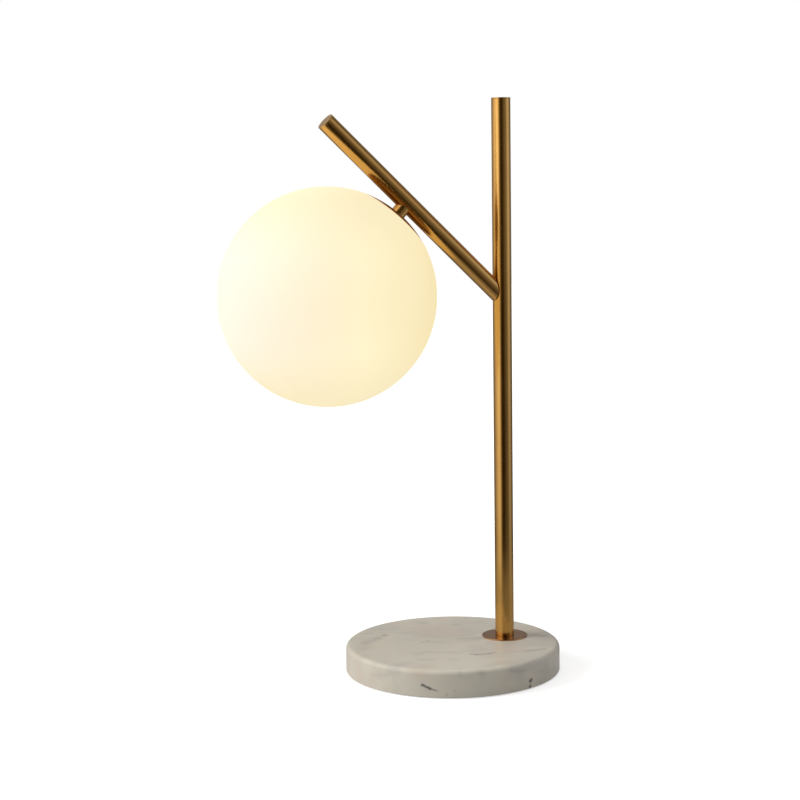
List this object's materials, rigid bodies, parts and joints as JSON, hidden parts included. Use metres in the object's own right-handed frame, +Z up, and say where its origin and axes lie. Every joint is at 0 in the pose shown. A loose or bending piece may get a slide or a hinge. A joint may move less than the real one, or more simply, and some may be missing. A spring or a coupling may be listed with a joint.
{
  "type": "glass globe table lamp",
  "caption": "Table lamp with an opal glass globe hung from a slanting brass arm, on an off-centre brass stem and a round marble base.",
  "frame": {"origin": "centre of the round base's underside, where it rests on the table", "axes": "+Z up along the stem; the stem stands off centre at +X and the arm and globe lean over towards -X, in the XZ plane"},
  "size_m": [0.3227, 0.204, 0.54],
  "materials": {
    "marble": "honed",
    "pad": "foam",
    "bushing": "moulded",
    "zinc_steel": "zinc plated",
    "block_nylon": "moulded nylon",
    "antique_brass": "satin antique",
    "flange_brass": "satin antique",
    "plain_brass": "turned",
    "cable_sheath": "extruded",
    "seal_silicone": "translucent silicone",
    "opal_glass": "opal white, satin",
    "spring_steel": "sprung strip",
    "holder_plastic": "moulded thermoset",
    "holder_ceramic": "glazed",
    "lamp_metal": "nickel plated",
    "lamp_insulation": "vitrified black",
    "lamp_housing": "moulded",
    "lamp_dome": "opal"
  },
  "bodies": {
    "stand": {"base_slab": "marble", "base_pad": "pad", "cord_bushing": "bushing", "base_washer": "zinc_steel", "earth_strap": "plain_brass", "base_nut": "plain_brass", "foot_stud": "zinc_steel", "terminal_block": "block_nylon", "terminal_screws": "zinc_steel", "foot_flange": "flange_brass", "foot_plug": "plain_brass", "stem_tube": "antique_brass", "stem_cap": "antique_brass", "arm_tube": "antique_brass", "arm_root_plug": "plain_brass", "arm_cap": "antique_brass", "stub_sleeve": "antique_brass", "inner_cable": "cable_sheath", "stub_nipple": "zinc_steel", "globe_cap": "antique_brass", "cap_washer": "plain_brass", "cap_nut": "plain_brass", "clip_plate": "zinc_steel", "globe_clips": "spring_steel", "clip_rivets": "zinc_steel", "holder_cap": "holder_plastic", "holder_insert": "holder_ceramic", "holder_body": "holder_plastic", "holder_shell": "plain_brass", "holder_tongue": "spring_steel"},
    "seal": {"globe_seal": "seal_silicone"},
    "globe": {"globe": "opal_glass"},
    "lamp": {"lamp_screw": "lamp_metal", "lamp_insulator": "lamp_insulation", "lamp_tip": "lamp_metal", "lamp_housing": "lamp_housing", "lamp_dome": "lamp_dome"}
  },
  "joints": [
    {"name": "globe_turn", "type": "hinge", "parent": "stand", "child": "seal", "pos_m": [-0.05816, 0, 0.42601], "axis": [0.6884, 0, 0.7254], "continuous": true},
    {"name": "globe_pull", "type": "slide", "parent": "seal", "child": "globe", "axis": [-0.6884, 0, -0.7254], "range_m": [0, 0.14]},
    {"name": "lamp_draw", "type": "slide", "parent": "stand", "child": "lamp", "axis": [-0.6884, 0, -0.7254], "range_m": [0, 0.032]}
  ]
}
